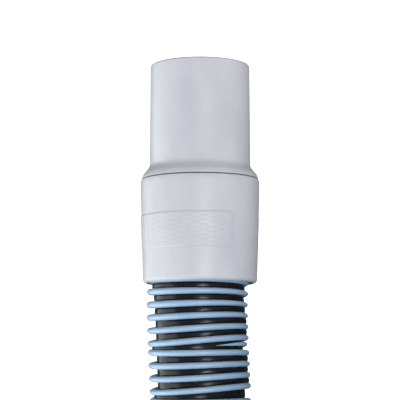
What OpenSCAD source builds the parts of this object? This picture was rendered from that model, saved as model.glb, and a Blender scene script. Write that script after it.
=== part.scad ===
// Pool vacuum hose: a spiral-wound hose with a swivel cuff on one end and a fixed cuff on the other.
// The swivel cuff's axis lies along Y and its mouth faces +Y. The hose leaves it along -Y, lies on
// the ground, and is wound into a coil held by three ties. All lengths are in millimetres.

/* [Hose] */
// Outside diameter over the spiral bead
bead_od = 46; // [45.8:0.05:46]
// Outside diameter of the hose wall under the bead
web_od = 41.8; // [41:0.1:41.8]
// Inside diameter
hose_id = 38; // [37:0.1:38.4]
// Axial distance from one turn of the bead to the next
bead_pitch = 5.4; // [5:0.1:7]
// Axial width of the bead
bead_w = 2.9; // [2:0.1:3.5]

/* [Swivel cuff] */
// Length of the cuff from the rim of its mouth to the end of its skirt
cuff_len = 100.4; // [100:0.1:101.6]
// Diameter of the collar at its widest, just under the seam
collar_od = 54.4; // [54.2:0.1:56]
// Diameter of the collar at the end of its skirt
tail_od = 52; // [51.8:0.1:53]
// Diameter of the spigot where it leaves the shoulder
spigot_od = 46; // [45.8:0.1:46.4]
// Diameter of the spigot at the rim of its mouth
mouth_od = 45.6; // [45:0.1:45.8]
// Radius of the bore that slides over a fitting
bore_r = 19.2; // [19.05:0.05:19.4]
// Length of that bore's straight wall
bore_len = 41; // [36:0.5:41]
// Radial running clearance between the spigot's journal and the collar
run_gap = 0.08; // [0.04:0.01:0.1]
// Width of the visible gap between spigot and collar
seam_gap = 0.5; // [0.3:0.05:0.6]

/* [Grip panels] */
// Angle that each grip panel covers
grip_angle = 124; // [90:1:150]
// Height of the panel above the collar
grip_h = 0.3; // [0.1:0.05:0.6]
// Length of the panel along the cuff
grip_len = 15.8; // [8:0.5:18]

/* [Coil] */
// Radius of the outer turns at the middle of the hose
coil_r = 274; // [272:1:276]
// Width of a tie
tie_w = 25; // [15:1:30]
// Thickness of a tie
tie_t = 1.2; // [0.8:0.1:1.6]

/* [Hidden] */
$fn = 96;

// Radii of the hose and of the cuff's main surfaces
hose_r = bead_od / 2;
web_r = web_od / 2;
collar_r = collar_od / 2;
tail_r = tail_od / 2;
spigot_r = spigot_od / 2;
mouth_r = mouth_od / 2;
axis_z = collar_r;

// Stations along the swivel cuff, as distances from its middle towards the mouth
mouth_y = cuff_len / 2;
tail_y = -cuff_len / 2;
rim_inner_r = 0.8;
rim_outer_r = 1.2;
ledge_y = mouth_y - rim_inner_r - bore_len;
ledge_r = 18.2;
shoulder_y = -2.7;
collar_top_y = shoulder_y - seam_gap;
lip_end_y = -6;
washer_t = 1.5;
ring_top_y = -7.8;
ring_t = 1.9;
groove_w = 2;
gland_top_y = -11.6;
journal_end_y = -11.3;
nose_end_y = -21;
gland_step_y = -21.5;
socket_top_y = -23;
gland_end_y = -44.4;

// Radii inside the collar
journal_r = 22.6;
lip_r = journal_r + run_gap;
groove_r = 21.4;
nose_r = 21.3;
seal_groove_r = 20.2;
seal_groove_w = 2.4;
seal_y = -16.4;
seal_wire_r = 0.98;
seal_socket_r = 22.4;
cavity_r = 24.6;
gland_r = cavity_r - 0.05;
washer_inner_r = journal_r + 0.15;
washer_outer_r = cavity_r - 0.2;
socket_r = hose_r + 0.1;
tail_corner_r = 1.7;

// Shoulder: a fillet, a cone and a rounded corner that meet without a kink. The seam cuts the corner,
// with a small radius on both of its edges.
cone_a = 37;
fillet_r = 2.6;
corner_r = 9;
corner_y = -5.5;
edge_r = 0.3;
corner_centre = [collar_r - corner_r, corner_y];
cone_rise = collar_r - spigot_r - (corner_r + fillet_r) * (1 - cos(cone_a));
fillet_y = corner_y + (corner_r + fillet_r) * sin(cone_a) + cone_rise / tan(cone_a);
shoulder_edge_a = asin((shoulder_y + edge_r - corner_y) / (corner_r - edge_r));
collar_edge_a = asin((collar_top_y - edge_r - corner_y) / (corner_r - edge_r));

// Grip panel along the cuff
grip_top_y = -19.8;
grip_end_y = grip_top_y - grip_len;

// Bead inside the gland and inside the fixed cuff
bead_inner_r = web_r + 0.15;
bead_end_gap = 0.4;
bead_turns = (socket_top_y - gland_end_y - bead_w - bead_end_gap) / bead_pitch;
bead_steps = 36;

// Coil: two turns wide and two layers high, with part of a turn on top
tie_gap = 0.5;
turn_z = [for (layer = [0 : 2]) tie_t + tie_gap + hose_r + layer * bead_od];
inner_turn_r = coil_r - bead_od;
coil_centre = [coil_r, -352];
top_start_a = 1230;
top_end_a = 1530;
top_step_a = 10;
tie_angles = [145, 270, 30];

// Fixed cuff: its middle, where it lies on the coil with its mouth towards +X
cuff_rest_gap = 0.2;
straight_len = 64;
hose_in_cuff = 6;
far_x = coil_centre[0] + straight_len - hose_in_cuff + cuff_len / 2;
far_y = coil_centre[1] - inner_turn_r;
far_z = turn_z[1] + hose_r + collar_r + cuff_rest_gap;
socket_depth = 36;
far_socket_u = -cuff_len / 2 + socket_depth;

// Route of the hose from the gland to the coil, as centres of the hose
run_points = [
    [-0.6, -44.4, 27.2], [-0.6, -46, 27.2], [-1, -52, 27.2], [-1.3, -60, 27.1],
    [-1.1, -70, 26.9], [-0.5, -85, 26.4], [0.2, -100, 25.7], [0.6, -115, 25],
    [0.8, -130, 24.4], [0.6, -150, 23.8], [0.3, -180, 23.4], [0, -220, 23.2],
    [0, -260, 23.3], [0, -300, 23.8], [0, -330, 24.4], [0, -352, 24.7]
];

// Points of an arc about a centre, from one angle to another
function arc(centre, r, from, to, steps = 10) =
    [for (i = [0 : steps]) let (a = from + (to - from) * i / steps)
        [centre[0] + r * cos(a), centre[1] + r * sin(a)]];

function unit(v) = v / norm(v);
function smooth(t) = t * t * (3 - 2 * t);

// 0 before angle a0, 1 after angle a1, and a smooth rise between them
function ramp(a, a0, a1) = smooth(min(1, max(0, (a - a0) / (a1 - a0))));

// The coil's centreline at an angle counted from where the hose meets the coil. The hose crosses
// from the outer turn to the inner one and back, and climbs a layer in between.
function turn_r(a) =
    coil_r - bead_od * (ramp(a, 300, 352) - ramp(a, 925, 980) + ramp(a, 1395, 1450));
function turn_height(a) =
    turn_z[0] + bead_od * (ramp(a, 620, 675) + ramp(a, 1230, 1285))
    + (far_z - turn_z[2]) * ramp(a, 1480, top_end_a);
function coil_point(a) =
    [coil_centre[0] - turn_r(a) * cos(a), coil_centre[1] - turn_r(a) * sin(a), turn_height(a)];

// Direction of a route at point i
function heading(p, i) = unit(p[min(i + 1, len(p) - 1)] - p[max(i - 1, 0)]);

// Outline round a convex row of circle centres, given counter-clockwise
function turn_up(a) = a < 0 ? a + 360 : a;
function rounded(centres, r) =
    let (n = len(centres))
    [for (i = [0 : n - 1])
        let (
            into = centres[i] - centres[(i + n - 1) % n],
            out = centres[(i + 1) % n] - centres[i],
            from = atan2(into[1], into[0]) - 90,
            turn = turn_up(atan2(out[1], out[0]) - 90 - from)
        )
        each arc(centres[i], r, from, from + turn)];

// Places a shape drawn about Z on the swivel cuff's axis, with Z towards the mouth
module on_cuff_axis() {
    translate([0, 0, axis_z]) rotate([-90, 0, 0]) children();
}

// Places a shape drawn about Z on the fixed cuff's axis, with Z towards the mouth
module on_far_axis() {
    translate([far_x, far_y, far_z]) rotate([0, 90, 0]) children();
}

// A plain ring about Z between two radii, from one station up
module ring(inner, outer, from, height) {
    rotate_extrude() polygon([
        [inner, from], [outer, from], [outer, from + height], [inner, from + height]
    ]);
}

// A round tube swept along a route, with 12 sides
module swept_tube(points, r, sides = 12) {
    n = len(points);
    rings = [for (i = [0 : n - 1])
        let (
            t = heading(points, i),
            side = unit(cross(t, [0, 0, 1])),
            up = cross(side, t)
        )
        for (k = [0 : sides - 1])
            points[i] + r * (cos(360 * k / sides) * side + sin(360 * k / sides) * up)];
    walls = [for (i = [0 : n - 2]) for (k = [0 : sides - 1])
        let (a = i * sides, b = a + sides, m = (k + 1) % sides) [a + k, a + m, b + m, b + k]];
    start_cap = [[for (k = [sides - 1 : -1 : 0]) k]];
    end_cap = [[for (k = [0 : sides - 1]) (n - 1) * sides + k]];
    polyhedron(rings, concat(walls, start_cap, end_cap), convexity = 10);
}

// The bead on the gripped end of the hose: a left-hand helix about Z that starts at a station
module bead_helix(from) {
    profile = [
        [bead_inner_r, -bead_w / 2], [hose_r - 0.7, -bead_w / 2], [hose_r, -bead_w / 5],
        [hose_r, bead_w / 5], [hose_r - 0.7, bead_w / 2], [bead_inner_r, bead_w / 2]
    ];
    sides = len(profile);
    n = floor(bead_turns * bead_steps);
    rings = [for (i = [0 : n]) let (a = -360 * i / bead_steps) for (p = profile)
        [p[0] * cos(a), p[0] * sin(a), from + p[1] + bead_pitch * i / bead_steps]];
    walls = [for (i = [0 : n - 1]) for (k = [0 : sides - 1])
        let (a = i * sides, b = a + sides, m = (k + 1) % sides) [a + k, b + k, b + m, a + m]];
    start_cap = [[for (k = [0 : sides - 1]) k]];
    end_cap = [[for (k = [sides - 1 : -1 : 0]) n * sides + k]];
    polyhedron(rings, concat(walls, start_cap, end_cap), convexity = 10);
}

// Centre of an arc of radius r that carries on from an arc at an angle without a kink
function centre_after(centre, from_r, r, a) = centre + (from_r - r) * [cos(a), sin(a)];

// Wall from the bore of a mouth over its rim and down the tube to the shoulder's cone
function mouth_outline() = concat(
    arc([bore_r + rim_inner_r, mouth_y - rim_inner_r], rim_inner_r, 180, 90),
    arc([mouth_r - rim_outer_r, mouth_y - rim_outer_r], rim_outer_r, 90, 0),
    arc([spigot_r + fillet_r, fillet_y], fillet_r, 180, 180 + cone_a)
);

// Radius of the tapered collar at a station
function collar_taper(y) =
    let (end = tail_y + tail_corner_r)
    collar_r + (tail_r - collar_r) * (corner_y - y) / (corner_y - end);

// Two raised panels on opposite sides of a collar
module grip_panels() {
    for (side = [0, 180])
        rotate(180 + side) rotate_extrude(angle = grip_angle) polygon([
            [collar_taper(grip_end_y) - 0.8, grip_end_y],
            [collar_taper(grip_end_y) + grip_h, grip_end_y],
            [collar_taper(grip_top_y) + grip_h, grip_top_y],
            [collar_taper(grip_top_y) - 0.8, grip_top_y]
        ]);
}

// Turning half of the swivel cuff: mouth, shoulder, journal and nose in one moulding
module swivel_spigot() {
    edge_centre = centre_after(corner_centre, corner_r, edge_r, shoulder_edge_a);
    journal = [
        [journal_r, shoulder_y], [journal_r, ring_top_y], [groove_r, ring_top_y],
        [groove_r, ring_top_y - groove_w], [journal_r, ring_top_y - groove_w],
        [journal_r, journal_end_y], [nose_r, journal_end_y]
    ];
    nose = [
        [nose_r, seal_y + seal_groove_w / 2], [seal_groove_r, seal_y + seal_groove_w / 2],
        [seal_groove_r, seal_y - seal_groove_w / 2], [nose_r, seal_y - seal_groove_w / 2],
        [nose_r, nose_end_y + 0.6], [nose_r - 0.6, nose_end_y], [ledge_r, nose_end_y]
    ];
    color([0.8, 0.81, 0.84]) on_cuff_axis() rotate_extrude() polygon(concat(
        mouth_outline(), arc(corner_centre, corner_r, cone_a, shoulder_edge_a, 4),
        arc(edge_centre, edge_r, shoulder_edge_a, -90, 6),
        journal, nose, [[ledge_r, ledge_y], [bore_r, ledge_y]]
    ));
}

// Rubber ring in the nose's groove
module spigot_seal_ring() {
    color([0.1, 0.1, 0.11]) on_cuff_axis() rotate_extrude()
        translate([seal_groove_r + seal_wire_r + 0.04, seal_y]) circle(seal_wire_r);
}

// Split ring that snaps into the journal's groove and keeps the spigot in the collar
module retaining_ring() {
    color([0.93, 0.93, 0.9]) on_cuff_axis() rotate_extrude(angle = 332) polygon([
        [groove_r + 0.02, ring_top_y - groove_w], [washer_outer_r - 0.2, ring_top_y - groove_w],
        [washer_outer_r - 0.2, ring_top_y - groove_w + ring_t],
        [groove_r + 0.02, ring_top_y - groove_w + ring_t]
    ]);
}

// Outer shell that is fixed to the hose, with the lip that the spigot turns in
module collar_shell() {
    edge_centre = centre_after(corner_centre, corner_r, edge_r, collar_edge_a);
    outline = concat(
        [[lip_r, collar_top_y]],
        arc(edge_centre, edge_r, 90, collar_edge_a, 4),
        arc(corner_centre, corner_r, collar_edge_a, 0, 4),
        arc([tail_r - tail_corner_r, tail_y + tail_corner_r], tail_corner_r, 0, -90),
        [[cavity_r, tail_y], [cavity_r, lip_end_y], [lip_r, lip_end_y]]
    );
    color([0.8, 0.81, 0.84]) on_cuff_axis() union() {
        rotate_extrude() polygon(outline);
        grip_panels();
    }
}

// Slippery washer between the collar's lip and the retaining ring
module bearing_washer() {
    color([0.95, 0.95, 0.93]) on_cuff_axis()
        ring(washer_inner_r, washer_outer_r, lip_end_y - washer_t, washer_t);
}

// Slippery washer between the retaining ring and the gland
module thrust_washer() {
    color([0.95, 0.95, 0.93]) on_cuff_axis()
        ring(washer_inner_r, washer_outer_r, gland_top_y, washer_t);
}

// Bush bonded into the collar: seal socket above, hose socket below
module hose_gland() {
    color([0.16, 0.16, 0.17]) on_cuff_axis() rotate_extrude() polygon([
        [seal_socket_r, gland_top_y], [gland_r, gland_top_y], [gland_r, gland_end_y],
        [socket_r, gland_end_y], [socket_r, socket_top_y], [ledge_r, socket_top_y],
        [ledge_r, gland_step_y], [seal_socket_r, gland_step_y]
    ]);
}

// Wall of the hose inside the gland
module hose_web_end() {
    color([0.08, 0.08, 0.09]) on_cuff_axis()
        ring(hose_id / 2, web_r, gland_end_y, socket_top_y - gland_end_y);
}

// Bead of the hose inside the gland
module hose_bead_end() {
    color([0.58, 0.74, 0.87]) on_cuff_axis() bead_helix(gland_end_y + bead_w / 2);
}

// Hose from the gland to the coil
module hose_run() {
    color([0.35, 0.45, 0.53]) swept_tube(run_points, hose_r);
}

// Outer shape of the two full layers of the coil
module hose_coil() {
    color([0.35, 0.45, 0.53]) translate([coil_centre[0], coil_centre[1], 0])
        rotate_extrude() polygon(rounded([
            [inner_turn_r, turn_z[0]], [coil_r, turn_z[0]],
            [coil_r, turn_z[1]], [inner_turn_r, turn_z[1]]
        ], hose_r));
}

// Last part of a turn, which lies on the coil and runs straight into the fixed cuff
module hose_top_turn() {
    turn = [for (a = [top_start_a : top_step_a : top_end_a]) coil_point(a)];
    stub = [for (x = [0.5, 1]) [coil_centre[0] + straight_len * x, far_y, far_z]];
    color([0.35, 0.45, 0.53]) swept_tube(concat(turn, stub), hose_r);
}

// One-piece cuff on the far end of the hose, with the same mouth as the swivel cuff
module fixed_cuff() {
    outline = concat(
        mouth_outline(), arc(corner_centre, corner_r, cone_a, 0),
        arc([tail_r - tail_corner_r, tail_y + tail_corner_r], tail_corner_r, 0, -90),
        [
            [socket_r, tail_y], [socket_r, far_socket_u], [ledge_r, far_socket_u],
            [ledge_r, ledge_y], [bore_r, ledge_y]
        ]
    );
    color([0.8, 0.81, 0.84]) on_far_axis() union() {
        rotate_extrude() polygon(outline);
        grip_panels();
    }
}

// Wall of the hose inside the fixed cuff
module far_web_end() {
    color([0.08, 0.08, 0.09]) on_far_axis()
        ring(hose_id / 2, web_r, tail_y + hose_in_cuff, socket_depth - hose_in_cuff);
}

// Bead of the hose inside the fixed cuff
module far_bead_end() {
    color([0.58, 0.74, 0.87]) on_far_axis() bead_helix(tail_y + hose_in_cuff + bead_w / 2);
}

// Strap round the coil at an angle, closed round the circles that it holds together
module coil_tie(a, centres) {
    color([0.12, 0.12, 0.13]) translate([coil_centre[0], coil_centre[1], 0])
        rotate([0, 0, 180 + a]) rotate([90, 0, 0])
            linear_extrude(tie_w, center = true) difference() {
                polygon(rounded(centres, hose_r + tie_gap + tie_t));
                polygon(rounded(centres, hose_r + tie_gap));
            }
}

// Circles that each tie goes round: two turns and two layers, and the top turn where there is one
block = [
    [inner_turn_r, turn_z[0]], [coil_r, turn_z[0]], [coil_r, turn_z[1]], [inner_turn_r, turn_z[1]]
];
top_outside = [block[0], block[1], [coil_r, turn_z[2]], block[3]];
top_inside = [block[0], block[1], block[2], [inner_turn_r, turn_z[2]]];

swivel_spigot();
spigot_seal_ring();
retaining_ring();
collar_shell();
bearing_washer();
thrust_washer();
hose_gland();
hose_web_end();
hose_bead_end();
hose_run();
hose_coil();
hose_top_turn();
fixed_cuff();
far_web_end();
far_bead_end();
coil_tie(tie_angles[0], block);  // coil_tie_1
coil_tie(tie_angles[1], top_outside);  // coil_tie_2
coil_tie(tie_angles[2], top_inside);  // coil_tie_3
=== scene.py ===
"""Looks of a pool vacuum hose: a spiral-wound hose with a swivel cuff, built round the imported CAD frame.

All lengths are in metres, in the CAD's frame: the swivel cuff's axis lies along Y with its mouth
towards +Y, the hose leaves it along -Y and is wound into a coil on the ground.
"""

import math

import bpy
import numpy as np
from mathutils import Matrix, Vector


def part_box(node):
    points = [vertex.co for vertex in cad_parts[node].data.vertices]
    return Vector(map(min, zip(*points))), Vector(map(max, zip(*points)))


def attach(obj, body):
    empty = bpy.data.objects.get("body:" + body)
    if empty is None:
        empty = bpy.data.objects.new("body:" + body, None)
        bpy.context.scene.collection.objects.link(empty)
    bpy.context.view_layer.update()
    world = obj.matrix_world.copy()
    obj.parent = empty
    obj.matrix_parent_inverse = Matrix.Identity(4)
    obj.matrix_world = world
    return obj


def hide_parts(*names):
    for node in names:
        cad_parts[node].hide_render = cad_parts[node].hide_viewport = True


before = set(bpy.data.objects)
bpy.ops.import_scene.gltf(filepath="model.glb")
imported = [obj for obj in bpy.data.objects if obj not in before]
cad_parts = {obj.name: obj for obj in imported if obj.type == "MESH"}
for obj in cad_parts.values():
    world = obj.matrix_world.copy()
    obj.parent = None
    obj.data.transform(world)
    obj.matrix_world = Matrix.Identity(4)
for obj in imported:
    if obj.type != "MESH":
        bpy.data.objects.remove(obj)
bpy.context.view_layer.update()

MM = 0.001

# ---------------------------------------------------------------- sizes, as in the CAD model
spigot_low, spigot_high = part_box("swivel_spigot")
collar_low, collar_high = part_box("collar_shell")
far_low, far_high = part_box("fixed_cuff")
AXIS_Z = (collar_low[2] + collar_high[2]) / 2
FAR_CENTRE = [(low + high) / 2 for low, high in zip(far_low, far_high)]

HOSE_D = 46 * MM
HOSE_R = HOSE_D / 2
PITCH = 5.4 * MM
COLLAR_R = (collar_high[0] - collar_low[0]) / 2
TAIL_R = 26 * MM
SPIGOT_R = 23 * MM
MOUTH_R = 22.8 * MM
BORE_R = 19.2 * MM
LEDGE_R = 18.2 * MM
MOUTH_Y = spigot_high[1]
TAIL_Y = collar_low[1]
COLLAR_TOP_Y = collar_high[1]

# ---------------------------------------------------------------- camera
VIEW_ELEVATION = math.radians(83.1)
VIEW_DISTANCE = 0.8
VIEW_LENS = 157.7
VIEW_CENTRE = Vector((0.0, -12.1 * MM, AXIS_Z))


def make_camera():
    """The photo's view: from a little towards the hose's end of straight above."""
    camera = bpy.data.objects.new("camera", bpy.data.cameras.new("camera"))
    bpy.context.collection.objects.link(camera)
    back = Vector((0, -math.cos(VIEW_ELEVATION), math.sin(VIEW_ELEVATION)))
    camera.location = VIEW_CENTRE + back * VIEW_DISTANCE
    camera.rotation_euler = (-back).to_track_quat("-Z", "Y").to_euler()
    camera.data.sensor_width = 36
    camera.data.lens = VIEW_LENS
    camera.data.clip_start = 0.05
    camera.data.clip_end = 100
    bpy.context.scene.camera = camera


make_camera()

# ---------------------------------------------------------------- materials


def new_material(name, colour, roughness, subsurface=0.0):
    """A Principled material, with its node tree, its shader and its object-space coordinates."""
    material = bpy.data.materials.new(name)
    material.use_nodes = True
    nodes = material.node_tree.nodes
    shader = nodes["Principled BSDF"]
    shader.inputs["Base Color"].default_value = (*colour, 1)
    shader.inputs["Roughness"].default_value = roughness
    if subsurface:
        shader.inputs["Subsurface Weight"].default_value = subsurface
        shader.inputs["Subsurface Radius"].default_value = (1.0, 0.9, 0.85)
        shader.inputs["Subsurface Scale"].default_value = 2 * MM
    place = nodes.new("ShaderNodeTexCoord")
    return material, shader, place.outputs["Object"]


def noise(material, place, scale, detail=4.0, stretch=None):
    """A noise value with a given number of features per metre, stretched along an axis if asked."""
    nodes, links = material.node_tree.nodes, material.node_tree.links
    if stretch is not None:
        mapping = nodes.new("ShaderNodeMapping")
        mapping.inputs["Scale"].default_value = stretch
        links.new(place, mapping.inputs["Vector"])
        place = mapping.outputs["Vector"]
    texture = nodes.new("ShaderNodeTexNoise")
    texture.inputs["Scale"].default_value = scale
    texture.inputs["Detail"].default_value = detail
    links.new(place, texture.inputs["Vector"])
    return texture.outputs["Fac"]


def spread(material, value, low, high, to_low, to_high):
    """Maps a value's range low to high onto to_low to to_high."""
    node = material.node_tree.nodes.new("ShaderNodeMapRange")
    links = material.node_tree.links
    links.new(value, node.inputs["Value"])
    ends = {"From Min": low, "From Max": high, "To Min": to_low, "To Max": to_high}
    for key, number in ends.items():
        node.inputs[key].default_value = number
    return node.outputs["Result"]


def mix_colours(material, factor, first, second):
    """Mixes two colours, each given as three numbers or as a socket."""
    nodes, links = material.node_tree.nodes, material.node_tree.links
    node = nodes.new("ShaderNodeMix")
    node.data_type = "RGBA"
    links.new(factor, node.inputs["Factor"])
    for key, colour in (("A", first), ("B", second)):
        socket = next(s for s in node.inputs if s.name == key and s.type == "RGBA")
        if isinstance(colour, tuple):
            socket.default_value = (*colour, 1)
        else:
            links.new(colour, socket)
    return next(s for s in node.outputs if s.type == "RGBA")


def bump(material, shader, height, distance, strength=1.0):
    """Adds a bump of a given depth in metres on top of any bump the shader already has."""
    nodes, links = material.node_tree.nodes, material.node_tree.links
    node = nodes.new("ShaderNodeBump")
    node.inputs["Strength"].default_value = strength
    node.inputs["Distance"].default_value = distance
    links.new(height, node.inputs["Height"])
    if shader.inputs["Normal"].is_linked:
        links.new(shader.inputs["Normal"].links[0].from_socket, node.inputs["Normal"])
    links.new(node.outputs["Normal"], shader.inputs["Normal"])


def plastic(name, colour, darker, roughness, grain_depth, subsurface=0.0):
    """Moulded plastic: broad cloudy variation, fine mottling and a low grain."""
    material, shader, place = new_material(name, colour, roughness, subsurface)
    links = material.node_tree.links
    cloud = spread(
        material, noise(material, place, scale=70, stretch=(1, 0.5, 1)), 0.3, 0.7, 0, 1
    )
    speck = spread(material, noise(material, place, scale=900, detail=2), 0.3, 0.7, 0, 1)
    mottled = mix_colours(material, speck, colour, tuple(0.95 * c for c in colour))
    links.new(mix_colours(material, cloud, mottled, darker), shader.inputs["Base Color"])
    gloss = noise(material, place, scale=160)
    links.new(
        spread(material, gloss, 0.3, 0.7, roughness - 0.04, roughness + 0.05),
        shader.inputs["Roughness"],
    )
    bump(material, shader, noise(material, place, scale=2600, detail=2), grain_depth)
    bump(material, shader, noise(material, place, scale=70, detail=2), 8 * grain_depth, strength=0.5)
    return material


def extruded(name, colour, darker, roughness, line_depth, gloss_level, crease_depth=0.0):
    """Extruded soft plastic: cloudy colour, faint scuffs and fine waviness.

    With a crease depth it also has creases round the hose. They follow the wall's UV coordinates,
    which are metres along the hose and, shrunk so that the creases are long, round it."""
    material, shader, place = new_material(name, colour, roughness)
    links = material.node_tree.links
    cloud = spread(material, noise(material, place, scale=120), 0.35, 0.65, 0, 1)
    links.new(mix_colours(material, cloud, colour, darker), shader.inputs["Base Color"])
    gloss = noise(material, place, scale=380)
    links.new(
        spread(material, gloss, 0.3, 0.7, roughness - 0.06, roughness + 0.07),
        shader.inputs["Roughness"],
    )
    shader.inputs["Specular IOR Level"].default_value = gloss_level
    bump(material, shader, noise(material, place, scale=1500, detail=3), line_depth)
    if crease_depth:
        uv = material.node_tree.nodes.new("ShaderNodeUVMap")
        uv.uv_map = "hose"
        creases = noise(material, uv.outputs["UV"], scale=900, detail=2)
        bump(material, shader, creases, crease_depth)
    return material


def woven(name, colour, thread):
    """Woven tape, in the mesh's own UV coordinates, which are metres across and along it, with painted
    shade in the weave's hollows.
    """
    material, shader, place = new_material(name, colour, 0.85)
    nodes, links = material.node_tree.nodes, material.node_tree.links
    uv = nodes.new("ShaderNodeUVMap")
    uv.uv_map = "tape"
    heights = []
    for direction in ("X", "Y"):
        wave = nodes.new("ShaderNodeTexWave")
        wave.wave_type = "BANDS"
        wave.bands_direction = direction
        wave.inputs["Scale"].default_value = 1 / (20 * thread)
        wave.inputs["Distortion"].default_value = 0.6
        wave.inputs["Detail"].default_value = 1
        wave.inputs["Detail Scale"].default_value = 4
        links.new(uv.outputs["UV"], wave.inputs["Vector"])
        heights.append(wave.outputs["Fac"])
    weave = nodes.new("ShaderNodeMath")
    weave.operation = "MULTIPLY"
    links.new(heights[0], weave.inputs[0])
    links.new(heights[1], weave.inputs[1])
    height = weave.outputs["Value"]
    fuzz = noise(material, place, scale=1800, detail=3)
    # Painted shade: the colour darkens to under half where the weave's height is low, in the hollows
    # between threads.
    painted_weave_shade = mix_colours(material, height, tuple(0.45 * c for c in colour), colour)
    lint = spread(material, fuzz, 0.55, 0.75, 0, 0.5)
    links.new(
        mix_colours(material, lint, painted_weave_shade, tuple(2.5 * c for c in colour)),
        shader.inputs["Base Color"],
    )
    shader.inputs["Sheen Weight"].default_value = 0.35
    shader.inputs["Sheen Roughness"].default_value = 0.5
    bump(material, shader, height, 0.25 * MM)
    bump(material, shader, fuzz, 0.12 * MM)
    return material


CUFF = plastic("cuff_plastic", (0.62, 0.635, 0.67), (0.535, 0.55, 0.59), 0.35, 0.01 * MM, 0.12)
BEARING = plastic("bearing_plastic", (0.80, 0.80, 0.76), (0.76, 0.76, 0.71), 0.35, 0.01 * MM)
GLAND = plastic("gland_plastic", (0.022, 0.022, 0.025), (0.015, 0.015, 0.017), 0.5, 0.02 * MM)
SEAL = extruded("seal_rubber", (0.012, 0.012, 0.013), (0.018, 0.018, 0.019), 0.32, 0.01 * MM, 0.4)
WEB = extruded(
    "hose_web", (0.004, 0.0042, 0.005), (0.006, 0.0062, 0.007), 0.24, 0.003 * MM, 0.26, 0.09 * MM
)
BEAD = extruded("hose_bead", (0.31, 0.475, 0.645), (0.295, 0.455, 0.625), 0.4, 0.006 * MM, 1.0)
TIE = woven("tie_fabric", (0.022, 0.022, 0.025), 0.7 * MM)

# ---------------------------------------------------------------- mesh helpers


def smooth(share):
    """Eases a share that runs from 0 to 1, so that it starts and ends level."""
    return share * share * (3 - 2 * share)


def grid_faces(rows, columns, wrap_rows=False, wrap_columns=True):
    """Quads of a grid of vertices numbered row by row."""
    last_row = rows if wrap_rows else rows - 1
    last_column = columns if wrap_columns else columns - 1
    i, j = np.meshgrid(np.arange(last_row), np.arange(last_column), indexing="ij")
    i, j = i.ravel(), j.ravel()
    down, across = (i + 1) % rows, (j + 1) % columns
    corners = [i * columns + j, i * columns + across, down * columns + across, down * columns + j]
    return np.stack(corners, axis=1)


def make_object(name, points, quads, material, caps=(), sharp=None):
    """A smooth-shaded mesh object from points, quads and any larger end faces."""
    points = np.asarray(points, np.float32).reshape(-1, 3)
    loops = np.concatenate([quads.ravel(), *[np.asarray(cap) for cap in caps]]).astype(np.int32)
    sizes = np.concatenate([np.full(len(quads), 4), [len(cap) for cap in caps]]).astype(np.int32)
    starts = np.concatenate([[0], np.cumsum(sizes)[:-1]]).astype(np.int32)
    mesh = bpy.data.meshes.new(name)
    mesh.vertices.add(len(points))
    mesh.vertices.foreach_set("co", points.ravel())
    mesh.loops.add(len(loops))
    mesh.loops.foreach_set("vertex_index", loops)
    mesh.polygons.add(len(sizes))
    mesh.polygons.foreach_set("loop_start", starts)
    mesh.polygons.foreach_set("use_smooth", np.ones(len(sizes), bool))
    mesh.update(calc_edges=True)
    if sharp is not None:
        mesh.set_sharp_from_angle(angle=sharp)
    mesh.materials.append(material)
    made = bpy.data.objects.new(name, mesh)
    bpy.context.collection.objects.link(made)
    return made


def set_uv(item, name, values):
    """Gives a mesh UV coordinates from a pair of numbers for each of its vertices."""
    layer = item.data.uv_layers.new(name=name)
    vertex = np.empty(len(item.data.loops), np.int32)
    item.data.loops.foreach_get("vertex_index", vertex)
    layer.data.foreach_set("uv", values[vertex].ravel())


def arc(centre, radius, start, end, steps=10):
    """Points of an arc, with its angles in degrees."""
    angles = np.radians(np.linspace(start, end, steps + 1))
    return [(centre[0] + radius * math.cos(a), centre[1] + radius * math.sin(a)) for a in angles]


def centre_after(centre, from_radius, radius, angle):
    """Centre of an arc that carries on from another at an angle without a kink."""
    reach, a = from_radius - radius, math.radians(angle)
    return (centre[0] + reach * math.cos(a), centre[1] + reach * math.sin(a))


def subdivided(outline, longest):
    """The closed outline with points added so that no side is longer than given."""
    points = []
    for (x0, y0), (x1, y1) in zip(outline, outline[1:] + outline[:1]):
        pieces = max(1, math.ceil(math.hypot(x1 - x0, y1 - y0) / longest))
        points += [(x0 + (x1 - x0) * k / pieces, y0 + (y1 - y0) * k / pieces) for k in range(pieces)]
    return points


def on_axis(radius, station, angle, place):
    """Points at a radius and station along a cuff's axis, at an angle from the top."""
    origin, along, side = place
    up = Vector((0, 0, 1))
    origin, along, side = (np.array(v, float) for v in (origin, along, side))
    around = np.cos(angle)[..., None] * np.array(up) + np.sin(angle)[..., None] * side
    return origin + np.asarray(station)[..., None] * along + np.asarray(radius)[..., None] * around


def lathe(name, outline, place, material, segments=160, longest=3 * MM):
    """Turns a closed outline of radii and stations about a cuff's axis."""
    outline = np.array(subdivided(outline, longest))
    angles = np.linspace(0, 2 * math.pi, segments, endpoint=False)
    a, r = np.meshgrid(angles, outline[:, 0])
    station = np.repeat(outline[:, 1][:, None], segments, axis=1)
    points = on_axis(r, station, a, place)
    quads = grid_faces(len(outline), segments, wrap_rows=True)
    return make_object(name, points, quads, material, sharp=math.radians(32))


NEAR_PLACE = ((0, 0, AXIS_Z), (0, 1, 0), (1, 0, 0))
FAR_PLACE = (FAR_CENTRE, (1, 0, 0), (0, -1, 0))

# ---------------------------------------------------------------- cuffs
RIM_INNER_R = 0.8 * MM
RIM_OUTER_R = 1.2 * MM
BORE_LEN = 41 * MM
LEDGE_Y = MOUTH_Y - RIM_INNER_R - BORE_LEN
LIP_R = 22.68 * MM
LIP_END_Y = -6 * MM
CAVITY_R = 24.6 * MM
TAIL_CORNER_R = 1.7 * MM
SHOULDER_Y = -2.7 * MM
SOCKET_R = HOSE_R + 0.1 * MM
SOCKET_LEN = 36 * MM

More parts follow.
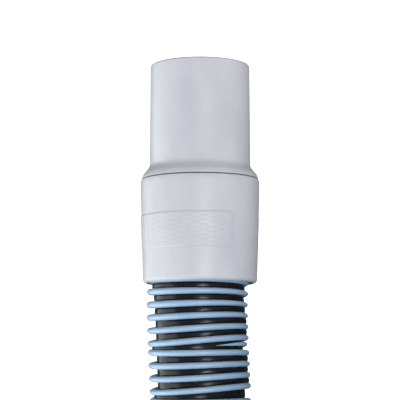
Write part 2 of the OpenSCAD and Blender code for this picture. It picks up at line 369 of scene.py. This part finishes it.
# The spigot inside the collar, as radii and stations in mm: its journal with the retaining ring's
# groove, and its nose with the seal's groove
JOURNAL = [
    (22.6, -2.7), (22.6, -7.8), (21.4, -7.8), (21.4, -9.8), (22.6, -9.8), (22.6, -11.3),
    (21.3, -11.3), (21.3, -15.2), (20.2, -15.2), (20.2, -17.6), (21.3, -17.6),
    (21.3, -20.4), (20.7, -21), (18.2, -21)
]

# Shoulder: a fillet, a cone, a bend, a short easier cone and a large rounded corner, which meet
# without a kink. The seam cuts through the corner. It stays within 0.15 mm of the CAD's shoulder.
FILLET_R = 4 * MM
CONE_A = 41
BEND_R = 3 * MM
EASY_A = 22
EASY_LEN = 1.2 * MM
CORNER_R = 9 * MM
CORNER_Y = -5.5 * MM
EDGE_R = 0.3 * MM
CORNER_CENTRE = (COLLAR_R - CORNER_R, CORNER_Y)


def edge_angle(edge_centre_y):
    """Angle on the corner's arc at which a small edge radius with its centre at a station starts."""
    return math.degrees(math.asin((edge_centre_y - CORNER_Y) / (CORNER_R - EDGE_R)))


def bend_centre():
    """Centre of the bend between the two cones, up the easier one from the corner."""
    radius, station = centre_after(CORNER_CENTRE, CORNER_R, BEND_R, EASY_A)
    easy = math.radians(EASY_A)
    return (radius - EASY_LEN * math.sin(easy), station + EASY_LEN * math.cos(easy))


def fillet_station():
    """Station at which the fillet meets the mouth tube."""
    cone = math.radians(CONE_A)
    bend_r, bend_y = bend_centre()
    foot_r, foot_y = bend_r + BEND_R * math.cos(cone), bend_y + BEND_R * math.sin(cone)
    rise = foot_r - SPIGOT_R - FILLET_R * (1 - math.cos(cone))
    return foot_y + rise / math.tan(cone) + FILLET_R * math.sin(cone)


FILLET_Y = fillet_station()
SHOULDER_EDGE_A = edge_angle(SHOULDER_Y + EDGE_R)
COLLAR_EDGE_A = edge_angle(COLLAR_TOP_Y - EDGE_R)


def mouth_outline():
    """From the bore of a mouth over its rim and down the tube to the shoulder's cone."""
    return (
        arc((BORE_R + RIM_INNER_R, MOUTH_Y - RIM_INNER_R), RIM_INNER_R, 180, 90)
        + arc((MOUTH_R - RIM_OUTER_R, MOUTH_Y - RIM_OUTER_R), RIM_OUTER_R, 90, 0, steps=14)
        + arc((SPIGOT_R + FILLET_R, FILLET_Y), FILLET_R, 180, 180 + CONE_A)
    )


def shoulder_outline(end):
    """From the cone's foot over the bend and down the rounded corner to an angle on it."""
    return (
        arc(bend_centre(), BEND_R, CONE_A, EASY_A, steps=6)
        + arc(CORNER_CENTRE, CORNER_R, EASY_A, end, steps=6)
    )


def tail_outline():
    """The rounded corner at a cuff's lower end."""
    return arc((TAIL_R - TAIL_CORNER_R, TAIL_Y + TAIL_CORNER_R), TAIL_CORNER_R, 0, -90)


def make_spigot():
    """The cuff's turning half, down to its nose inside the collar."""
    edge_centre = centre_after(CORNER_CENTRE, CORNER_R, EDGE_R, SHOULDER_EDGE_A)
    outline = (
        mouth_outline()
        + shoulder_outline(SHOULDER_EDGE_A)
        + arc(edge_centre, EDGE_R, SHOULDER_EDGE_A, -90, steps=6)
        + [(r * MM, y * MM) for r, y in JOURNAL]
        + [(LEDGE_R, LEDGE_Y), (BORE_R, LEDGE_Y)]
    )
    spigot = lathe("spigot", outline, NEAR_PLACE, CUFF)
    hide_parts("swivel_spigot")
    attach(spigot, "spigot")


def collar_taper(station):
    """Radius of the tapered collar at a station."""
    end = TAIL_Y + TAIL_CORNER_R
    return COLLAR_R + (TAIL_R - COLLAR_R) * (CORNER_Y - station) / (CORNER_Y - end)


# Grip panels: two raised pads of staggered oblong pips on opposite sides of each collar
PANEL_ANGLE = math.radians(124)
PANEL_TOP_Y = -19.8 * MM
PANEL_LEN = 15.8 * MM
PANEL_H = 0.2 * MM
PIP_H = 0.08 * MM
PANEL_SINK = 0.02 * MM
PANEL_ROOT = 0.5 * MM
PANEL_EDGE = 0.03
BORDER_U, BORDER_V = 0.02, 0.01
PIP_ROWS = 7
PIP_COLUMNS = 15
PIP_FLAT = 0.45
PIP_SIDE = 0.4
CELL = 8
EXTRA_ROWS, EXTRA_COLUMNS = 9, 5


def pip_height(u, v):
    """Height of the panel at a share of its length and of its angle: staggered soft pips."""
    inside_u = np.clip((u - BORDER_U) / (1 - 2 * BORDER_U), 0, 1)
    inside_v = np.clip((v - BORDER_V) / (1 - 2 * BORDER_V), 0, 1)
    stagger = np.floor(inside_v * PIP_COLUMNS) % 2 / 2
    row = np.abs((inside_u * PIP_ROWS + stagger) % 1 - 0.5) * 2
    column = np.abs((inside_v * PIP_COLUMNS) % 1 - 0.5) * 2
    pip = smooth(1 - np.clip((np.maximum(row, column) - PIP_FLAT) / PIP_SIDE, 0, 1))
    edge = np.minimum(np.minimum(u, 1 - u) / PANEL_EDGE, np.minimum(v, 1 - v) / PANEL_EDGE)
    in_field = (u > BORDER_U) & (u < 1 - BORDER_U) & (v > BORDER_V) & (v < 1 - BORDER_V)
    field = np.where(in_field, pip, 0)
    return np.clip(edge, 0, 1) * PANEL_H + field * PIP_H


def make_grip(name, place, start, body):
    """One panel, closed underneath, just proud of the collar."""
    rows, columns = PIP_ROWS * CELL + EXTRA_ROWS, PIP_COLUMNS * CELL + EXTRA_COLUMNS
    u, v = np.meshgrid(np.linspace(0, 1, rows), np.linspace(0, 1, columns), indexing="ij")
    station = PANEL_TOP_Y - u * PANEL_LEN
    angle = start + v * PANEL_ANGLE
    top = on_axis(collar_taper(station) + pip_height(u, v) - PANEL_SINK, station, angle, place)
    under = on_axis(collar_taper(station) - PANEL_ROOT, station, angle, place)
    upper = grid_faces(rows, columns, wrap_columns=False)
    lower = upper[:, ::-1] + rows * columns
    border = np.concatenate([
        np.arange(columns),
        np.arange(1, rows) * columns + columns - 1,
        (rows - 1) * columns + np.arange(columns - 2, -1, -1),
        np.arange(rows - 2, 0, -1) * columns
    ])
    after = np.roll(border, -1)
    rim = np.stack([border, border + rows * columns, after + rows * columns, after], axis=1)
    quads = np.concatenate([upper, lower, rim])
    grip = make_object(name, np.concatenate([top.reshape(-1, 3), under.reshape(-1, 3)]), quads, CUFF)
    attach(grip, body)
    return grip


def make_collar():
    """The cuff's fixed half: a lip round the spigot's journal and a skirt over the hose."""
    edge_centre = centre_after(CORNER_CENTRE, CORNER_R, EDGE_R, COLLAR_EDGE_A)
    outline = (
        [(LIP_R, COLLAR_TOP_Y)]
        + arc(edge_centre, EDGE_R, 90, COLLAR_EDGE_A, steps=5)
        + arc(CORNER_CENTRE, CORNER_R, COLLAR_EDGE_A, 0, steps=5)
        + tail_outline()
        + [(CAVITY_R, TAIL_Y), (CAVITY_R, LIP_END_Y), (LIP_R, LIP_END_Y)]
    )
    collar = lathe("collar", outline, NEAR_PLACE, CUFF)
    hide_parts("collar_shell")
    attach(collar, "hose")


def make_far_cuff():
    """The one-piece cuff on the far end, with the same outside and a socket for the hose."""
    socket_end = TAIL_Y + SOCKET_LEN
    outline = (
        mouth_outline()
        + shoulder_outline(0)
        + tail_outline()
        + [(SOCKET_R, TAIL_Y), (SOCKET_R, socket_end), (LEDGE_R, socket_end)]
        + [(LEDGE_R, LEDGE_Y), (BORE_R, LEDGE_Y)]
    )
    cuff = lathe("far_cuff", outline, FAR_PLACE, CUFF)
    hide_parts("fixed_cuff")
    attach(cuff, "hose")
    return cuff


# ---------------------------------------------------------------- route of the hose
RUN_POINTS = [
    (-0.0006, -0.0444, 0.0272), (-0.0006, -0.046, 0.0272), (-0.001, -0.052, 0.0272),
    (-0.0013, -0.060, 0.0271), (-0.0011, -0.070, 0.0269), (-0.0005, -0.085, 0.0264),
    (0.0002, -0.100, 0.0257), (0.0006, -0.115, 0.025), (0.0008, -0.130, 0.0244),
    (0.0006, -0.150, 0.0238), (0.0003, -0.180, 0.0234), (0, -0.220, 0.0232),
    (0, -0.260, 0.0233), (0, -0.300, 0.0238), (0, -0.330, 0.0244), (0, -0.352, 0.0247)
]
COIL_R = 0.274
COIL_CENTRE = (0.274, -0.352)
FIRST_LAYER_Z = 0.0247
COIL_STEP_A = 5

# Angles between which the centreline steps in to the inner turns, out again, and up by a layer
FIRST_IN, OUT, SECOND_IN = (300, 352), (925, 980), (1395, 1450)
FIRST_UP, SECOND_UP = (620, 675), (1230, 1285)
LAST_RISE_A, TOP_END_A = 1480, 1530
STRAIGHT_LEN = 0.064
STUB_SHARES = (0.33, 0.67, 1)


def ramp(a, start, end):
    """0 before one angle, 1 after another, and a smooth rise between them."""
    return smooth(min(1, max(0, (a - start) / (end - start))))


def coil_point(a):
    """The coil's centreline at an angle counted from where the hose meets the coil."""
    inward = ramp(a, *FIRST_IN) - ramp(a, *OUT) + ramp(a, *SECOND_IN)
    r = COIL_R - HOSE_D * inward
    rise = FAR_CENTRE[2] - FIRST_LAYER_Z - 2 * HOSE_D
    z = FIRST_LAYER_Z + HOSE_D * (ramp(a, *FIRST_UP) + ramp(a, *SECOND_UP))
    z += rise * ramp(a, LAST_RISE_A, TOP_END_A)
    t = math.radians(a)
    return (COIL_CENTRE[0] - r * math.cos(t), COIL_CENTRE[1] - r * math.sin(t), z)


def smooth_route(points, step=2 * MM, samples=8):
    """A curve through the points, at even steps, by cubic pieces on the chord length.

    Each point brings a number of samples, from which the even steps are read off."""
    p = np.array(points, float)
    s = np.concatenate([[0], np.cumsum(np.linalg.norm(np.diff(p, axis=0), axis=1))])
    slope = np.gradient(p, s, axis=0, edge_order=2)
    at = np.linspace(0, s[-1], samples * len(s))
    k = np.clip(np.searchsorted(s, at, side="right") - 1, 0, len(s) - 2)
    h = (s[k + 1] - s[k])[:, None]
    t = (at[:, None] - s[k][:, None]) / h
    fine = (
        (2 * t**3 - 3 * t**2 + 1) * p[k] + (t**3 - 2 * t**2 + t) * h * slope[k]
        + (3 * t**2 - 2 * t**3) * p[k + 1] + (t**3 - t**2) * h * slope[k + 1]
    )
    run = np.concatenate([[0], np.cumsum(np.linalg.norm(np.diff(fine, axis=0), axis=1))])
    even = np.linspace(0, run[-1], round(run[-1] / step) + 1)
    return np.stack([np.interp(even, run, fine[:, c]) for c in range(3)], axis=1), even


coil_end = coil_point(TOP_END_A)
STUB_POINTS = [
    (coil_end[0] + STRAIGHT_LEN * share, coil_end[1], coil_end[2]) for share in STUB_SHARES
]
ROUTE, ROUTE_S = smooth_route(
    RUN_POINTS
    + [coil_point(a) for a in range(COIL_STEP_A, TOP_END_A + 1, COIL_STEP_A)]
    + STUB_POINTS
)
ROUTE_LEN = float(ROUTE_S[-1])
HEADING = np.gradient(ROUTE, ROUTE_S, axis=0)
HEADING /= np.linalg.norm(HEADING, axis=1)[:, None]
RIGHT = np.cross((0, 0, 1), HEADING)
RIGHT /= np.linalg.norm(RIGHT, axis=1)[:, None]
UP = np.cross(HEADING, RIGHT)
BEND_SPAN = 11
BEND_WINDOW = np.ones(BEND_SPAN) / BEND_SPAN
BEND = np.stack(
    [np.convolve(c, BEND_WINDOW, mode="same") for c in np.gradient(HEADING, ROUTE_S, axis=0).T],
    axis=1
)


def hose_points(s, angle, radius):
    """Points at distances along the hose, at an angle from its top and a radius from its middle."""
    shape = np.broadcast(s, angle, radius).shape
    s, angle, radius = (np.broadcast_to(v, shape) for v in (s, angle, radius))

    def at(values):
        return np.stack([np.interp(s, ROUTE_S, values[:, c]) for c in range(3)], axis=-1)

    around = np.cos(angle)[..., None] * at(UP) + np.sin(angle)[..., None] * at(RIGHT)
    return at(ROUTE) + radius[..., None] * around


# ---------------------------------------------------------------- bead and wall of the hose
# Turns are counted so that turn 1 is the first whole one below the collar, at the top of the hose.
# The bead is a left-hand helix. The hose is squeezed on its right as it leaves the cuff, so each
# turn leans a little more than the last, and it starts again after the splice below turn 5. Turns
# inside the collar all lean alike, and lie a little lower than the pitch would put them.
FIRST_TURN_Y = -54.6 * MM
BY_CUFF = slice(0, 130)
FIRST_TURN_S = float(np.interp(-FIRST_TURN_Y, -ROUTE[BY_CUFF, 1], ROUTE_S[BY_CUFF]))
SLOPE = HEADING[BY_CUFF, 0] / -HEADING[BY_CUFF, 1]
SPLICE_TURN = 5
LEAN_START = 0.75 * MM
LEAN_STEP = 0.95 * MM
LEAN_AGAIN, LEAN_CYCLE = 2, 4
LEAN_INSIDE = 1.3 * MM
INSIDE_DROP = 0.25 * MM
SETTLE_FROM, SETTLE_TO = 9, 24
SPARE_TURNS = 3


def turn_lean(k):
    """How much higher the right end of turn k lies than a square helix's, across the bead."""
    count = k if k <= SPLICE_TURN else LEAN_AGAIN + (k - SPLICE_TURN - 1) % LEAN_CYCLE
    path_slope = np.interp(FIRST_TURN_S + (k - 1) * PITCH, ROUTE_S[BY_CUFF], SLOPE)
    lean = (LEAN_START + LEAN_STEP * count if k > 0 else LEAN_INSIDE) - HOSE_D * path_slope
    return lean * (1 - ramp(k, SETTLE_FROM, SETTLE_TO))


LEAN_TURNS = np.arange(-SPARE_TURNS, SETTLE_TO + SPARE_TURNS)
LEANS = np.array([turn_lean(k) for k in LEAN_TURNS])


def bead_s(turn):
    """Distance along the hose of the bead's middle, at a turn count and the angle that goes with it.

    One turn's lean changes to the next one's underneath the hose, from a quarter of a turn to three."""
    whole = np.floor(turn)
    share = smooth(np.clip((turn % 1 - 0.25) / 0.5, 0, 1))
    lean = (1 - share) * np.interp(whole, LEAN_TURNS, LEANS)
    lean += share * np.interp(whole + 1, LEAN_TURNS, LEANS)
    inside = smooth(1 - np.clip((turn - 0.25) / 0.5, 0, 1))
    square = FIRST_TURN_S + (turn - 1) * PITCH + INSIDE_DROP * inside
    return square - np.sin(2 * math.pi * turn) * lean / 2


BEAD_MID_R = 20.95 * MM
BEAD_HALF_H = HOSE_R - BEAD_MID_R
BEAD_HALF_W = 1.38 * MM
BEAD_INSET = 1.6 * MM
SECTION_POWER = 0.9
FIRST_TURN = 1 - (FIRST_TURN_S - BEAD_INSET) / PITCH
LAST_TURN = 1 + (ROUTE_LEN - BEAD_INSET - FIRST_TURN_S) / PITCH
NEAR_TURNS = 15
NEAR_STEPS, NEAR_SIDES = 80, 14
FAR_STEPS, FAR_SIDES = 22, 6
FAR_PIECES = 4
SPLICE_FROM, SPLICE_TO = 0.06, 0.45
SPLICE_STEPS, SPLICE_SIDES = 60, 10
SPLICE_THIN, SPLICE_TIP, SPLICE_POWER = 0.3, 0.05, 0.7
SPLICE_HALF_W = 0.95 * MM
SPLICE_HALF_H = 0.7 * MM
SPLICE_R = 21.5 * MM
SPLICE_DRIFT = 2.95 * MM


def sweep_bead(name, turns, sides, half_w, half_h, mid_r, material, offset=0.0):
    """A closed bead along the helix, from its turn counts, with a rounded oblong section."""
    section = 2 * math.pi * np.arange(sides) / sides
    across = np.sign(np.cos(section)) * np.abs(np.cos(section)) ** SECTION_POWER
    out = np.sign(np.sin(section)) * np.abs(np.sin(section)) ** SECTION_POWER
    half_w, half_h, mid_r, offset = (
        np.broadcast_to(v, turns.shape)[:, None] for v in (half_w, half_h, mid_r, offset)
    )
    s = bead_s(turns)[:, None] + offset + half_w * across
    angle = 2 * math.pi * turns[:, None]
    points = hose_points(np.clip(s, 0, ROUTE_LEN), angle, mid_r + half_h * out)
    quads = grid_faces(len(turns), sides)
    first = np.arange(sides)[::-1]
    last = (len(turns) - 1) * sides + np.arange(sides)
    bead = make_object(name, points, quads, material, caps=[first, last])
    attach(bead, "hose")
    return bead


def make_beads():
    """The bead in pieces that meet end to end: one fine one by the cuff, and the rest coarser."""
    section = (BEAD_HALF_W, BEAD_HALF_H, BEAD_MID_R, BEAD)
    near = np.arange(FIRST_TURN, NEAR_TURNS, 1 / NEAR_STEPS)
    beads = [sweep_bead("bead_near", near, NEAR_SIDES, *section)]
    ends = np.linspace(NEAR_TURNS, LAST_TURN, FAR_PIECES + 1)
    for number, (start, end) in enumerate(zip(ends, ends[1:]), 1):
        turns = np.linspace(start, end, round((end - start) * FAR_STEPS))
        beads.append(sweep_bead(f"bead_{number}", turns, FAR_SIDES, *section))
    return beads


def make_splice():
    """The tail of the bead's first length, which thins out on the wall beside turn 5."""
    turns = SPLICE_TURN + np.linspace(SPLICE_FROM, SPLICE_TO, SPLICE_STEPS)
    share = (turns - turns[0]) / (turns[-1] - turns[0])
    thin_out = np.clip(np.minimum(share, 1 - share) / SPLICE_THIN, SPLICE_TIP, 1) ** SPLICE_POWER
    return sweep_bead(
        "bead_splice_tail", turns, SPLICE_SIDES, SPLICE_HALF_W * thin_out, SPLICE_HALF_H, SPLICE_R,
        BEAD, offset=SPLICE_DRIFT
    )


WALL_CREST_R = 20.55 * MM
WALL_DIP = 0.55 * MM
WALL_INNER_R = 19 * MM
WALL_INSET = 0.2 * MM
NEAR_ROW, NEAR_COLUMNS = PITCH / 14, 72
FAR_ROW, FAR_COLUMNS = PITCH / 3, 18
INNER_ROW = 20 * MM
CREASE_V = 0.6 * MM
FOLD_W = 0.07
FOLD_DEPTH = 0.03 * MM
WALL_SHIFT = 0.7 * MM
SQUEEZE_BULGE = 12 * MM
SQUEEZE_LOW, SQUEEZE_HIGH = -1.0 * MM, 1.1 * MM
SHIFT_S = (FIRST_TURN_S + SETTLE_FROM * PITCH, FIRST_TURN_S + SETTLE_TO * PITCH)


def wall_radius(s, angle):
    """Radius of the wall: it bulges between turns of the bead, and more where they are close.

    By the cuff the wall also sits a little to the right inside the bead."""
    turns = np.arange(-SPARE_TURNS, math.ceil(LAST_TURN) + SPARE_TURNS)
    radius = np.empty((len(s), len(angle)))
    for column, a in enumerate(angle):
        marks = bead_s(turns + a / (2 * math.pi))
        k = np.clip(np.searchsorted(marks, s) - 1, 0, len(marks) - 2)
        gap = marks[k + 1] - marks[k]
        share = (s - marks[k]) / gap
        around = math.cos(a) * UP + math.sin(a) * RIGHT
        bend = np.interp(s, ROUTE_S, np.sum(BEND * around, axis=1))
        squeeze = SQUEEZE_BULGE * (1 - gap / PITCH + HOSE_R * bend)
        squeeze = np.clip(squeeze, SQUEEZE_LOW, SQUEEZE_HIGH)
        dip = WALL_DIP + (squeeze - SQUEEZE_LOW) / 2
        fold = FOLD_DEPTH * np.exp(-((share - 0.5) / FOLD_W) ** 2)
        shift = math.sin(a) * np.interp(s, SHIFT_S, (WALL_SHIFT, 0))
        radius[:, column] = WALL_CREST_R + shift + squeeze - dip * (2 * share - 1) ** 2 - fold
    return radius


def wall_tube(start, end, row_step, columns):
    """Points, faces and UV of a stretch of wall: an outer and an inner surface, joined at the ends."""
    s = np.linspace(start, end, round((end - start) / row_step) + 1)
    angle = np.linspace(-math.pi, math.pi, columns, endpoint=False)
    outer = hose_points(s[:, None], angle[None, :], wall_radius(s, angle))
    back = np.linspace(end, start, round((end - start) / INNER_ROW) + 1)
    inner = hose_points(back[:, None], angle[None, :], WALL_INNER_R)
    rows = len(s) + len(back)
    points = np.concatenate([outer.reshape(-1, 3), inner.reshape(-1, 3)])
    uv = np.stack(np.broadcast_arrays(np.concatenate([s, back])[:, None], CREASE_V * angle), axis=-1)
    return points, grid_faces(rows, columns, wrap_rows=True), uv.reshape(-1, 2)


def make_wall():
    """The hose's wall: fine by the cuff and coarser beyond, in one piece."""
    near_end = float(bead_s(np.array([NEAR_TURNS]))[0])
    points, quads, uv = wall_tube(WALL_INSET, near_end, NEAR_ROW, NEAR_COLUMNS)
    far_points, far_quads, far_uv = wall_tube(near_end, ROUTE_LEN - WALL_INSET, FAR_ROW, FAR_COLUMNS)
    all_quads = np.concatenate([quads, far_quads + len(points)])
    wall = make_object("hose_wall", np.concatenate([points, far_points]), all_quads, WEB)
    set_uv(wall, "hose", np.concatenate([uv, far_uv]))
    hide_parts("hose_run", "hose_coil", "hose_top_turn")
    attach(wall, "hose")
    return wall


# ---------------------------------------------------------------- ties
TIE_W = 25 * MM
TIE_T = 1.2 * MM
TIE_GAP = 0.5 * MM
TIE_STEP = 2 * MM
TIE_EDGE = 0.4 * MM
FLAP_GAP = 0.05 * MM
FLAP_DROP = 6 * MM
FLAP_ROWS = 26
FLAP_END_LEN = 6 * MM
FLAP_END_SHARE = 0.5
LAYER_Z = [FIRST_LAYER_Z + layer * HOSE_D for layer in range(3)]
INNER_R = COIL_R - HOSE_D
BLOCK = [(INNER_R, LAYER_Z[0]), (COIL_R, LAYER_Z[0]), (COIL_R, LAYER_Z[1]), (INNER_R, LAYER_Z[1])]
TIES = [
    (145, BLOCK),
    (270, [BLOCK[0], BLOCK[1], (COIL_R, LAYER_Z[2]), BLOCK[3]]),
    (30, [BLOCK[0], BLOCK[1], BLOCK[2], (INNER_R, LAYER_Z[2])])
]


def rounded(centres, radius):
    """Outline at a radius round a convex row of circle centres, given counter-clockwise."""
    points = []
    for before, here, after in zip(centres[-1:] + centres[:-1], centres, centres[1:] + centres[:1]):
        start = math.degrees(math.atan2(here[1] - before[1], here[0] - before[0])) - 90
        end = math.degrees(math.atan2(after[1] - here[1], after[0] - here[0])) - 90
        points += arc(here, radius, start, start + (end - start) % 360, steps=8)
    return points


def tape(name, line, closed, around, fade_ends=False):
    """Woven tape of the tie's width along a line of radii and heights, at an angle round the coil."""
    line = np.array(line)
    ahead = np.roll(line, -1, axis=0) - np.roll(line, 1, axis=0)
    if not closed:
        ahead[0], ahead[-1] = line[1] - line[0], line[-1] - line[-2]
    ahead /= np.linalg.norm(ahead, axis=1)[:, None]
    out = np.stack([ahead[:, 1], -ahead[:, 0]], axis=1)
    half = TIE_W / 2
    section = [
        (-half, 0.25), (-half + TIE_EDGE, 0), (-half / 2, 0), (0, 0), (half / 2, 0),
        (half - TIE_EDGE, 0), (half, 0.25), (half, 0.75), (half - TIE_EDGE, 1), (half / 2, 1),
        (0, 1), (-half / 2, 1), (-half + TIE_EDGE, 1), (-half, 0.75)
    ]
    across = np.array([x for x, _ in section])
    height = np.array([h for _, h in section]) * TIE_T
    surface = line[:, None, :] + out[:, None, :] * height[None, :, None]
    widths = np.ones(len(line))
    if fade_ends:
        run = np.concatenate([[0], np.cumsum(np.linalg.norm(np.diff(line, axis=0), axis=1))])
        from_end = np.minimum(run, run[-1] - run)
        corner = np.clip(from_end / FLAP_END_LEN, 0, 1)
        widths = FLAP_END_SHARE + (1 - FLAP_END_SHARE) * np.sqrt(1 - (1 - corner) ** 2)
    t = math.radians(around)
    outward = np.array((-math.cos(t), -math.sin(t), 0))
    along = np.array((math.sin(t), -math.cos(t), 0))
    middle = np.array((*COIL_CENTRE, 0))
    points = (
        middle + surface[..., :1] * outward + surface[..., 1:] * np.array((0, 0, 1))
        + (across[None, :] * widths[:, None])[..., None] * along
    )
    sides = len(section)
    quads = grid_faces(len(line), sides, wrap_rows=closed)
    caps = [] if closed else [
        np.arange(sides)[::-1], (len(line) - 1) * sides + np.arange(sides)
    ]
    made = make_object(name, points, quads, TIE, caps=caps, sharp=math.radians(50))
    lengths = np.linalg.norm(line - np.roll(line, 1, axis=0), axis=1)
    lengths[0] = 0
    along_tape = np.repeat(np.cumsum(lengths), sides)
    across_tape = np.tile(across, len(line))
    set_uv(made, "tape", np.stack([across_tape, along_tape], axis=1))
    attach(made, "hose")
    return made


def make_tie(number, around, centres):
    """A closed band of tape, and the overlapping end that is pressed onto it on the outside."""
    inner = subdivided(rounded(centres, HOSE_R + TIE_GAP), TIE_STEP)
    band = tape(f"tie_{number}", inner, True, around)
    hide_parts(f"coil_tie_{number}")
    outer_x = max(x for x, _ in inner) + TIE_T + FLAP_GAP
    low, high = LAYER_Z[0] - FLAP_DROP, LAYER_Z[1]
    flap_line = [(outer_x, z) for z in np.linspace(low, high, FLAP_ROWS)]
    flap = tape(f"tie_{number}_end", flap_line, False, around, fade_ends=True)
    return [band, flap]


# ---------------------------------------------------------------- build
wall = make_wall()
beads = make_beads()
splice = make_splice()
far_cuff = make_far_cuff()
make_spigot()
make_collar()
for n in (0, 1):
    make_grip(f"grip_{n}", NEAR_PLACE, (n - 0.5) * math.pi, "hose")
far_grips = [make_grip(f"far_grip_{n}", FAR_PLACE, n * math.pi, "hose") for n in (0, 1)]
ties = [piece for n, (around, row) in enumerate(TIES, 1) for piece in make_tie(n, around, row)]

CAD_MATERIALS = {
    "spigot_seal_ring": SEAL, "retaining_ring": BEARING, "bearing_washer": BEARING,
    "thrust_washer": BEARING, "hose_gland": GLAND, "hose_web_end": WEB, "hose_bead_end": BEAD,
    "far_web_end": WEB, "far_bead_end": BEAD
}
for node, material in CAD_MATERIALS.items():
    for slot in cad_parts[node].material_slots:
        slot.link = "OBJECT"
        slot.material = material

# ---------------------------------------------------------------- floor and light
STAGE_R = 30.0
DOME_ROWS, DOME_COLUMNS = 16, 64
SKY_LOW, SKY_HIGH = 0.08, 0.52
HORIZON_FROM, HORIZON_TO = -0.1, 0.3

# Name, width, height, power, direction from the cuff, distance, colour, and whether it shows in gloss
AREA_LIGHTS = [
    ("left_panel", 1.7, 1.5, 17, (-0.88, -0.37, -0.2), 1.0, (0.97, 1.0, 1.0), True),
    ("right_fill", 1.3, 1.3, 5.6, (0.9, -0.2, 0.25), 1.0, (1.0, 1.0, 1.0), False),
    ("low_fill", 0.4, 0.4, 0.28, (0.0, -0.75, 0.66), 0.45, (1.0, 1.0, 1.0), False)
]


def seen_only(item):
    """Keeps a stage object in the camera's view, and out of reflections, shadows and bounced light."""
    item.visible_diffuse = False
    item.visible_glossy = False
    item.visible_shadow = False


def make_floor():
    """A wide pale floor, just under the hose."""
    material, shader, place = new_material("floor", (0.93, 0.93, 0.93), 0.9)
    cloud = spread(material, noise(material, place, scale=3), 0.3, 0.7, 0, 1)
    links = material.node_tree.links
    links.new(
        mix_colours(material, cloud, (0.93, 0.93, 0.93), (0.92, 0.92, 0.92)),
        shader.inputs["Base Color"],
    )
    shader.inputs["Specular IOR Level"].default_value = 0.1
    shader.inputs["Emission Color"].default_value = (1, 1, 1, 1)
    shader.inputs["Emission Strength"].default_value = 0.85
    corners = [(x * STAGE_R, y * STAGE_R, 0) for x, y in ((-1, -1), (1, -1), (1, 1), (-1, 1))]
    floor = make_object("floor", corners, np.array([[0, 1, 2, 3]]), material)
    floor.location.z = -0.1 * MM
    seen_only(floor)


def make_dome():
    """A white dome over the floor, so that the background is as white from low down as from above."""
    material, shader, _ = new_material("dome", (0, 0, 0), 1)
    shader.inputs["Specular IOR Level"].default_value = 0
    shader.inputs["Emission Color"].default_value = (1, 1, 1, 1)
    shader.inputs["Emission Strength"].default_value = 1
    turn = np.linspace(0, 2 * math.pi, DOME_COLUMNS, endpoint=False)
    rise = np.linspace(0, math.pi / 2, DOME_ROWS)[:, None]
    points = STAGE_R * np.stack([
        np.cos(rise) * np.cos(turn), np.cos(rise) * np.sin(turn), np.sin(rise) + 0 * turn
    ], axis=-1)
    seen_only(make_object("dome", points, grid_faces(DOME_ROWS, DOME_COLUMNS), material))


def add_light(lamp, target, towards, reach, colour):
    """Places a light at a distance from a point, in a direction, and turns it to face the point."""
    towards = Vector(towards).normalized()
    lamp.location = Vector(target) + towards * reach
    lamp.rotation_euler = towards.to_track_quat("Z", "Y").to_euler()
    lamp.data.color = colour
    lamp.visible_camera = False
    bpy.context.collection.objects.link(lamp)


def make_lights():
    """A wide soft panel low on the left, two weaker fills on the right and towards the hose, and a
    wide sun overhead."""
    for name, width, height, power, towards, reach, colour, in_gloss in AREA_LIGHTS:
        panel = bpy.data.lights.new(name, "AREA")
        panel.shape = "RECTANGLE"
        panel.size = width
        panel.size_y = height
        panel.energy = power
        lamp = bpy.data.objects.new(name, panel)
        lamp.visible_glossy = in_gloss
        add_light(lamp, VIEW_CENTRE, towards, reach, colour)
    overhead = bpy.data.lights.new("overhead", "SUN")
    overhead.angle = math.radians(22)
    overhead.energy = 1.08
    sun = bpy.data.objects.new("overhead", overhead)
    add_light(sun, VIEW_CENTRE, (0.19, -0.16, 0.96), 2.0, (1.0, 0.99, 1.0))


def make_sky():
    """A sky that is dim at the horizon and brighter overhead."""
    world = bpy.data.worlds.new("studio")
    world.use_nodes = True
    nodes, links = world.node_tree.nodes, world.node_tree.links
    direction = nodes.new("ShaderNodeTexCoord")
    split = nodes.new("ShaderNodeSeparateXYZ")
    links.new(direction.outputs["Generated"], split.inputs["Vector"])
    fade = nodes.new("ShaderNodeMapRange")
    fade.interpolation_type = "SMOOTHSTEP"
    ends = {
        "From Min": HORIZON_FROM, "From Max": HORIZON_TO, "To Min": SKY_LOW, "To Max": SKY_HIGH
    }
    for key, number in ends.items():
        fade.inputs[key].default_value = number
    links.new(split.outputs["Z"], fade.inputs["Value"])
    sky = nodes["Background"]
    sky.inputs["Color"].default_value = (0.96, 0.97, 1.0, 1)
    links.new(fade.outputs["Result"], sky.inputs["Strength"])
    bpy.context.scene.world = world
    bpy.context.scene.view_settings.view_transform = "Standard"


make_floor()
make_dome()
make_lights()
make_sky()
